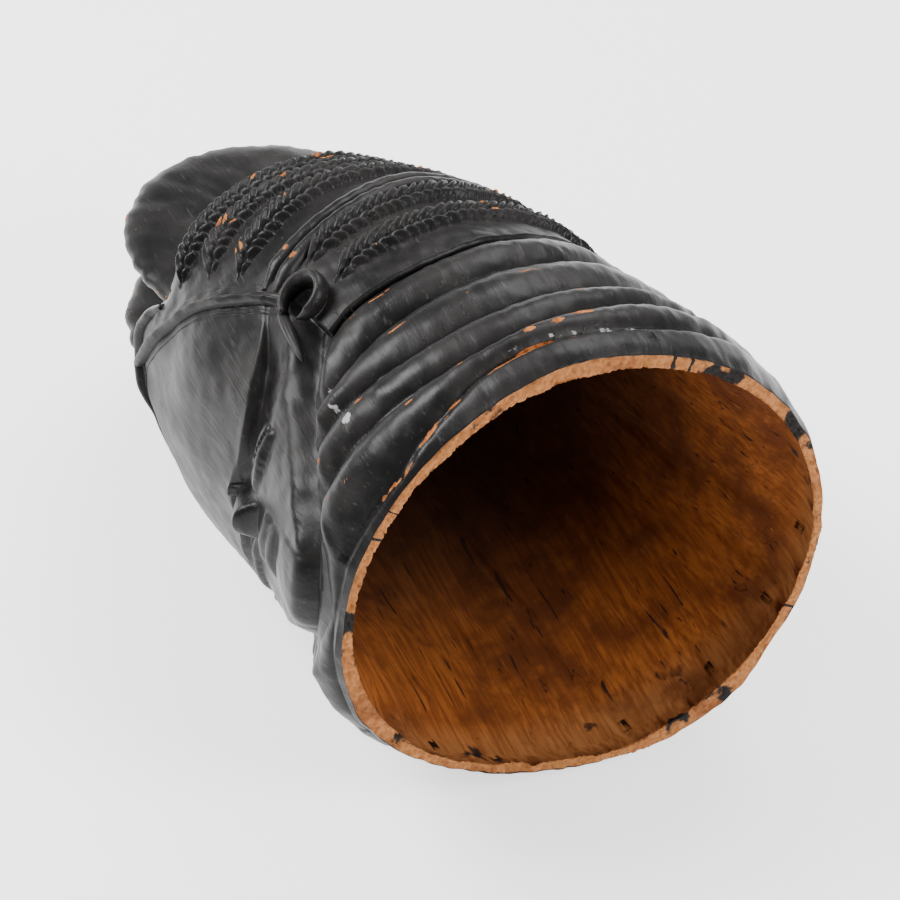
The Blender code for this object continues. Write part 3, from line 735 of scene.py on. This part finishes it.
def bandShape(s, d, length):
    # The roll along the hairline, with a double groove under it.
    half = 0.5 * hair["bandWidth"]
    height = hair["bandHeight"] * roundRoll(d, half)
    below = -d - half
    wideGroove = 0.0017 * np.exp(-((below - 0.0009) / 0.0010) ** 2)
    thinGroove = 0.0007 * np.exp(-((below - 0.0035) / 0.0007) ** 2)
    grown = 0.5 + 0.5 * ease(np.minimum(s, length - s), 0, 0.012)
    worn = ease(height, 0.0042, 0.0050) * 0.36
    return height * grown + 0.0004 - (wideGroove + thinGroove), worn


def makeHair():
    # The braids and plain rows each run right round the back of the head, from ear to ear.
    pieces = []
    for number, row in enumerate(hair["braids"], start=1):
        start = row[0][0] - 0.5
        braid = strip(row, start, 360 - start, braidWidthAt, braidShape)
        pieces.append(pieceFrom(f"braid_{number}", [braid]))
    end = hair["frontRollEnd"]
    coarse = {"step": 0.0012, "samples": 14}
    shapes = [strip(hair["frontRoll"], -end, end, ridgeWidthAt, ridgeShape, **coarse)]
    middle = hair["plainRow"]
    start = middle[0][0]
    for side in (-0.5, 0.5):
        row = [(angle, height + side * hair["ridgeSpacing"] / mm * 0.92) for angle, height in middle]
        shapes.append(strip(row, start, 360 - start, ridgeWidthAt, ridgeShape, **coarse))
    pieces.append(pieceFrom("plain_rows", shapes))
    end = hair["bandEnd"]
    roll = strip(hair["hairline"], -end, end, bandWidthAt, bandShape, step=0.0008, samples=34)
    pieces.append(pieceFrom("hairline_roll", [roll]))
    return pieces


# Crest
crest = {
    "gap": 0.054, "thickness": 0.017, "length": 0.172, "rise": 0.107, "setback": 0.0025, "sink": 0.053,
    "columns": 150, "ragged": 0.0009,
    "shares": [0.04, 0.12, 0.22, 0.32, 0.42, 0.52, 0.61, 0.70, 0.78, 0.85, 0.905, 0.945, 0.972, 0.988, 0.997],
}


def crestPlate(side):
    # One of the two tall rounded plates of hair on the crown, as rings out from its middle and back.
    turn = np.linspace(0, 2 * math.pi, crest["columns"], endpoint=False)
    middleY = head["profile"][-1][3] * head["rimHalfDepth"] + crest["setback"]
    middleHeight = head["height"] - crest["sink"]
    edge = np.stack([np.cos(turn), np.sin(turn), 0 * turn + side], -1)
    ragged = crest["ragged"] * waves(edge, 0.16, 31)
    shares = crest["shares"]
    rings = []
    for share, face in [(s, -1) for s in shares] + [(1.0, 0)] + [(s, 1) for s in reversed(shares)]:
        thick = 0.5 * crest["thickness"] * math.sqrt(1 - share ** 8)
        y = middleY + (0.5 * crest["length"] * share + ragged * share ** 6) * np.cos(turn)
        z = middleHeight + (crest["rise"] * share + ragged * share ** 6) * np.sin(turn)
        spot = np.stack([y, z, 0 * z + face * side], -1)
        rough = 0.0007 * waves(spot, 0.030, 32)
        rough += 0.0003 * waves(spot, 0.009, 33)
        x = side * 0.5 * crest["gap"] + face * (thick + rough * min(1, 4 * (1 - share)))
        rings.append(np.stack([x, y, z], axis=-1))
    verts, faces = closedStack(np.array(rings))
    worn = np.zeros((len(rings), crest["columns"]))
    outermost = len(shares)
    worn[outermost - 2:outermost + 3] = 0.28
    return verts, faces, np.concatenate([worn.reshape(-1), [0, 0]])


# Ears
def earFrame(side):
    angle, arc = np.array([side * ear["angle"]]), arcAt(np.array([ear["height"]]))
    point = plainPoint(angle, arc)[0]
    turn = math.radians(side * ear["angle"])
    outward = np.array([head["rimHalfDepth"] * math.sin(turn), -head["rimHalfWidth"] * math.cos(turn), 0])
    outward /= np.linalg.norm(outward)
    up = np.array([0, 0, 1.0])
    return point, np.cross(up, outward) * side, up, outward


def earLoop(side):
    # The rolled edge: a C that opens towards the face.
    point, back, up, outward = earFrame(side)
    steps, sides = 60, 18
    around = np.linspace(0, 2 * math.pi, sides, endpoint=False)[:, None]
    rings = []
    for step in range(steps + 1):
        share = step / steps
        bulge = math.sin(math.pi * share)
        turn = math.radians(172 - 312 * share)
        radius = 0.5 * ear["size"] * (1.04 - 0.10 * share)
        thick = ear["roll"] * (0.62 + 0.38 * bulge) * min(1, 6 * (1 - share) + 0.2)
        way = back * math.cos(turn) + up * math.sin(turn)
        at = point + way * radius + outward * ear["stand"] * (0.30 + 0.70 * bulge)
        rings.append(at + way * thick * np.cos(around) + outward * 1.8 * thick * np.sin(around))
    verts, faces = closedStack(np.array(rings))
    return verts, faces, np.full(len(verts), 0.05)


def earLobe(side):
    # The narrow flap that runs from the ear down beside the jaw, pointed at its lower end.
    top, low = [plainPoint(np.array([side * angle]), arcAt(np.array([height])))[0]
                for angle, height in ear["flap"]]
    outward = earFrame(side)[3]
    along = (top - low) / np.linalg.norm(top - low)
    over = np.cross(along, outward)
    halfLength = 0.56 * np.linalg.norm(top - low)
    segments, stacks, pinch = 36, 24, 0.5
    around = np.linspace(0, 2 * math.pi, segments, endpoint=False)[:, None]
    rings = []
    for stack in range(1, stacks):
        tilt = math.pi * stack / stacks
        narrow = 1 - pinch * (0.5 - 0.5 * math.cos(tilt))
        halfWidth = 0.5 * ear["flapWidth"]
        rings.append(0.5 * (top + low) + over * halfWidth * math.sin(tilt) * narrow * np.cos(around)
                     + outward * ear["stand"] * math.sin(tilt) * np.sin(around)
                     + along * halfLength * math.cos(tilt))
    verts, faces = closedStack(np.array(rings))
    return verts, faces, np.full(len(verts), 0.08)


# Materials
wood = {
    "black": (0.006, 0.0055, 0.0055, 1), "blackLight": (0.016, 0.0145, 0.014, 1),
    "blackGrain": (0.036, 0.033, 0.031, 1), "blackCrack": (0.006, 0.005, 0.005, 1),
    "bareDark": (0.22, 0.065, 0.014, 1), "bareLight": (0.46, 0.160, 0.042, 1), "chalk": (0.34, 0.35, 0.34, 1),
    "rimDark": (0.24, 0.078, 0.019, 1), "rimLight": (0.43, 0.175, 0.056, 1),
    "rimStain": (0.19, 0.062, 0.018, 1),
    "soot": (0.012, 0.010, 0.009, 1), "openCrack": (0.003, 0.002, 0.002, 1),
    "insideDark": (0.20, 0.052, 0.009, 1), "insideLight": (0.36, 0.110, 0.020, 1),
    "insideStain": (0.13, 0.034, 0.007, 1), "insideCrack": (0.03, 0.010, 0.004, 1),
    "fibreLight": (0.28, 0.098, 0.021, 1), "fibreDark": (0.030, 0.010, 0.004, 1),
    # Painted shade for the deep end of the hollow, towards the crown.
    "insidePaintedShade": (0.020, 0.007, 0.003, 1),
    "gloss": 0.30, "glossSpread": 0.18, "dull": 0.82, "specular": 0.21,
    "bumpDistance": 0.0007, "bumpStrength": 0.75, "grainTilt": 6.6,
}


def nodeMaker(tree):
    def add(kind, inputs=None, **settings):
        node = tree.nodes.new(kind)
        for key, value in settings.items():
            setattr(node, key, value)
        for key, value in (inputs or {}).items():
            if isinstance(value, bpy.types.NodeSocket):
                tree.links.new(value, node.inputs[key])
            else:
                node.inputs[key].default_value = value
        return node
    return add


def math2(add, operation, a, b=0.0):
    return add("ShaderNodeMath", {0: a, 1: b}, operation=operation).outputs[0]


def mixColor(add, share, a, b):
    return add("ShaderNodeMix", {0: share, 6: a, 7: b}, data_type="RGBA").outputs[2]


def ramp(add, value, low, high):
    return add("ShaderNodeMapRange", {0: value, 1: low, 2: high}, interpolation_type="SMOOTHSTEP").outputs[0]


def noise(add, where, scale, detail, **more):
    inputs = {"Vector": where, "Scale": scale, "Detail": detail}
    inputs.update({key.capitalize(): value for key, value in more.items()})
    return add("ShaderNodeTexNoise", inputs).outputs["Fac"]


def attribute(add, name):
    return add("ShaderNodeAttribute", attribute_name=name).outputs["Fac"]


def newGroup(name, inputs, outputs):
    tree = bpy.data.node_groups.new(name, "ShaderNodeTree")
    for key, value in inputs.items():
        tree.interface.new_socket(key, in_out="INPUT", socket_type="NodeSocketFloat").default_value = value
    for key in outputs:
        tree.interface.new_socket(key, in_out="OUTPUT", socket_type="NodeSocketFloat")
    return tree, nodeMaker(tree)


def grainGroup():
    # Wood grain that runs along the mask, rim to crown.
    tree, add = newGroup("woodGrain", {"Scale": 1.0}, ("Grain", "Blotch", "Crack"))
    scale = add("NodeGroupInput").outputs["Scale"]
    where = add("ShaderNodeTexCoord").outputs["Object"]
    tilt = (math.radians(wood["grainTilt"]), 0, 0)
    stretched = add("ShaderNodeMapping", {"Vector": where, "Scale": (1.0, 0.035, 1.0), "Rotation": tilt})
    sized = {0: stretched.outputs[0], "Scale": scale}
    fine = add("ShaderNodeVectorMath", sized, operation="SCALE").outputs[0]
    grain = noise(add, fine, 420.0, 5.0, roughness=0.6)
    blotch = noise(add, where, 26.0, 6.0, roughness=0.62)
    long = noise(add, fine, 95.0, 3.0, distortion=0.6)
    crack = ramp(add, math2(add, "ABSOLUTE", math2(add, "SUBTRACT", long, 0.5)), 0.010, 0.002)
    some = ramp(add, blotch, 0.56, 0.66)
    out = add("NodeGroupOutput")
    tree.links.new(grain, out.inputs["Grain"])
    tree.links.new(blotch, out.inputs["Blotch"])
    tree.links.new(math2(add, "MULTIPLY", crack, some), out.inputs["Crack"])
    return tree


def wearGroup():
    # Where the black dye has gone: on the high parts, in streaks and small specks.
    tree, add = newGroup("wornDye", {"High": 0.0, "Amount": 0.5}, ("Worn",))
    given = add("NodeGroupInput")
    where = add("ShaderNodeTexCoord").outputs["Object"]
    patch = noise(add, where, 38.0, 4.0, roughness=0.6, distortion=0.4)
    speck = noise(add, where, 170.0, 3.0)
    share = math2(add, "MULTIPLY", given.outputs["High"], given.outputs["Amount"])
    level = math2(add, "ADD", math2(add, "MULTIPLY", patch, 1.1), math2(add, "MULTIPLY", speck, 0.9))
    out = add("NodeGroupOutput")
    tree.links.new(ramp(add, math2(add, "ADD", level, share), 1.52, 1.58), out.inputs["Worn"])
    return tree


def outsideColor(add, where, grain, worn, dark):
    blotch, fine, crack = grain.outputs["Blotch"], grain.outputs["Grain"], grain.outputs["Crack"]
    black = mixColor(add, ramp(add, blotch, 0.35, 0.68), wood["black"], wood["blackLight"])
    black = mixColor(add, ramp(add, fine, 0.60, 0.72), black, wood["blackGrain"])
    black = mixColor(add, crack, black, wood["blackCrack"])
    bare = mixColor(add, ramp(add, fine, 0.38, 0.62), wood["bareDark"], wood["bareLight"])
    outside = mixColor(add, worn, black, bare)
    chalk = math2(add, "MULTIPLY", attribute(add, "chalk"), 0.38)
    chalky = ramp(add, math2(add, "ADD", chalk, noise(add, where, 230.0, 4.0)), 0.82, 0.92)
    outside = mixColor(add, chalky, outside, wood["chalk"])
    return mixColor(add, ramp(add, dark, 1.2, 2.2), outside, wood["openCrack"])


def rimColor(add, grain, soot, dark):
    blotch, fine = grain.outputs["Blotch"], grain.outputs["Grain"]
    orange = mixColor(add, ramp(add, fine, 0.25, 0.72), wood["rimDark"], wood["rimLight"])
    orange = mixColor(add, ramp(add, blotch, 0.52, 0.68), orange, wood["rimStain"])
    sooty = ramp(add, math2(add, "ADD", soot, math2(add, "MULTIPLY", dark, 0.22)), 0.64, 0.70)
    return mixColor(add, sooty, orange, wood["soot"])


def insideColor(add, where, grain, orange):
    # Fibres torn across the grain, painted shade that deepens towards the crown inside the hollow, and the
    # rim's own colour close to the rim.
    blotch, fine, crack = grain.outputs["Blotch"], grain.outputs["Grain"], grain.outputs["Crack"]
    inside = mixColor(add, ramp(add, fine, 0.34, 0.66), wood["insideDark"], wood["insideLight"])
    inside = mixColor(add, ramp(add, blotch, 0.40, 0.66), inside, wood["insideStain"])
    inside = mixColor(add, crack, inside, wood["insideCrack"])
    slant = {"Vector": where, "Rotation": (0.3, 0.9, 0.7), "Scale": (1.0, 0.06, 1.0)}
    slanted = add("ShaderNodeMapping", slant)
    fibre = noise(add, slanted.outputs[0], 330.0, 2.0)
    inside = mixColor(add, ramp(add, fibre, 0.64, 0.78), inside, wood["fibreLight"])
    inside = mixColor(add, ramp(add, fibre, 0.35, 0.28), inside, wood["fibreDark"])
    # Painted shade: the hollow's colour darkens towards the crown, where little light reaches.
    along = add("ShaderNodeSeparateXYZ", {0: where}).outputs[1]
    paintedShadeTowardCrown = math2(add, "MULTIPLY", ramp(add, along, -0.17, 0.00), 0.9)
    inside = mixColor(add, paintedShadeTowardCrown, inside, wood["insidePaintedShade"])
    return mixColor(add, ramp(add, along, -0.165, -0.195), inside, orange)


def maskMaterial(groups):
    # Black dyed and oiled wood that turns to raw orange wood at the rim, inside and on worn edges.
    skin = bpy.data.materials.new("blackenedWood")
    skin.use_nodes = True
    tree = skin.node_tree
    add = nodeMaker(tree)
    shader = tree.nodes["Principled BSDF"]
    where = add("ShaderNodeTexCoord").outputs["Object"]
    grain = add("ShaderNodeGroup", {"Scale": 1.0}, node_tree=groups["grain"])
    given = {"High": attribute(add, "worn"), "Amount": 1.0}
    worn = add("ShaderNodeGroup", given, node_tree=groups["wear"]).outputs["Worn"]
    dark = attribute(add, "dark")
    soot = noise(add, where, 55.0, 5.0)

    outside = outsideColor(add, where, grain, worn, dark)
    orange = rimColor(add, grain, soot, dark)
    inside = insideColor(add, where, grain, orange)
    rawWood = mixColor(add, attribute(add, "deep"), orange, inside)
    ragged = math2(add, "MULTIPLY", math2(add, "SUBTRACT", soot, 0.5), 0.9)
    rawMask = ramp(add, math2(add, "ADD", attribute(add, "raw"), ragged), 0.42, 0.58)
    tree.links.new(mixColor(add, rawMask, outside, rawWood), shader.inputs["Base Color"])

    blotch, fine, crack = grain.outputs["Blotch"], grain.outputs["Grain"], grain.outputs["Crack"]
    matt = math2(add, "MAXIMUM", rawMask, worn)
    spread = math2(add, "MULTIPLY", ramp(add, blotch, 0.3, 0.7), wood["glossSpread"])
    gloss = math2(add, "ADD", wood["gloss"], spread)
    rough = add("ShaderNodeMix", {0: matt, 2: gloss, 3: wood["dull"]}, data_type="FLOAT")
    tree.links.new(rough.outputs[0], shader.inputs["Roughness"])
    height = math2(add, "ADD", math2(add, "MULTIPLY", fine, 0.5), math2(add, "MULTIPLY", blotch, 0.2))
    height = math2(add, "SUBTRACT", height, math2(add, "MULTIPLY", crack, 1.2))
    height = math2(add, "SUBTRACT", height, math2(add, "MULTIPLY", worn, 0.35))
    bump = add("ShaderNodeBump", {"Height": height, "Distance": wood["bumpDistance"],
                                  "Strength": wood["bumpStrength"]})
    tree.links.new(bump.outputs["Normal"], shader.inputs["Normal"])
    shader.inputs["Specular IOR Level"].default_value = wood["specular"]
    return skin


# Floor, light and camera
studio = {
    "floorSize": 30, "floorGrey": 0.90, "floorRoughness": 0.9, "floorGlow": 1.4, "worldLight": 0.40,
    # Name, place, size in metres and power in watts.
    "lamps": [("key", (-1.00, 0.75, 1.4), 0.9, 54.0), ("front", (1.15, -1.5, 1.5), 0.9, 42.0),
              ("far", (0.9, 0.9, 1.6), 1.2, 30.0)],
    "lampTarget": (0, 0, 0.1),
    "lens": 134.64, "sensor": 36,
    "camera": ((0.92669, 0.25952, -0.27183, -0.48071), (-0.37582, 0.63897, -0.67117, -1.22613),
               (-0.00049, 0.72413, 0.68966, 1.30319), (0, 0, 0, 1)),
}


def makeStage():
    bpy.ops.object.select_all(action="DESELECT")
    bpy.ops.mesh.primitive_plane_add(size=studio["floorSize"], location=(0, 0, 0))
    floor = bpy.context.object
    floor.name = "floor"
    pale = bpy.data.materials.new("paleFloor")
    pale.use_nodes = True
    inputs = pale.node_tree.nodes["Principled BSDF"].inputs
    inputs["Base Color"].default_value = (*[studio["floorGrey"]] * 3, 1)
    inputs["Roughness"].default_value = studio["floorRoughness"]
    inputs["Emission Color"].default_value = (1, 1, 1, 1)
    inputs["Emission Strength"].default_value = studio["floorGlow"]
    floor.data.materials.append(pale)
    world = bpy.data.worlds.new("studio")
    world.use_nodes = True
    background = world.node_tree.nodes["Background"].inputs
    background["Color"].default_value = (1, 1, 1, 1)
    background["Strength"].default_value = studio["worldLight"]
    bpy.context.scene.world = world
    for name, at, size, power in studio["lamps"]:
        bpy.ops.object.light_add(type="AREA", location=at)
        lamp = bpy.context.object
        lamp.name = name
        lamp.data.size, lamp.data.energy = size, power
        toTarget = Vector(studio["lampTarget"]) - Vector(at)
        lamp.rotation_euler = toTarget.to_track_quat("-Z", "Y").to_euler()


def makeCamera():
    lens = bpy.data.cameras.new("camera")
    lens.lens, lens.sensor_width = studio["lens"], studio["sensor"]
    camera = bpy.data.objects.new("camera", lens)
    bpy.context.scene.collection.objects.link(camera)
    camera.matrix_world = Matrix(studio["camera"])
    bpy.context.scene.camera = camera


makeCamera()
makeStage()
print("stage and camera ready")
neck = makeNeck()
cutLacingHoles(neck)
print("neck and hollow carved")
upper = makeHead()
print("head carved")
pieces = [neck, upper] + makeHair()
print("hair carved")
sides = (("left", 1), ("right", -1))
for sideName, side in sides:
    pieces.append(pieceFrom(f"crest_{sideName}", [crestPlate(side)]))
for sideName, side in sides:
    pieces.append(pieceFrom(f"ear_{sideName}", [earLoop(side), earLobe(side)]))
print("crest and ears carved")
skin = maskMaterial({"grain": grainGroup(), "wear": wearGroup()})
for piece in pieces:
    piece.data.materials.append(skin)
    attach(piece, "root")
    print(piece.name, "triangles", sum(len(face.vertices) - 2 for face in piece.data.polygons))
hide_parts("helmet_mask")
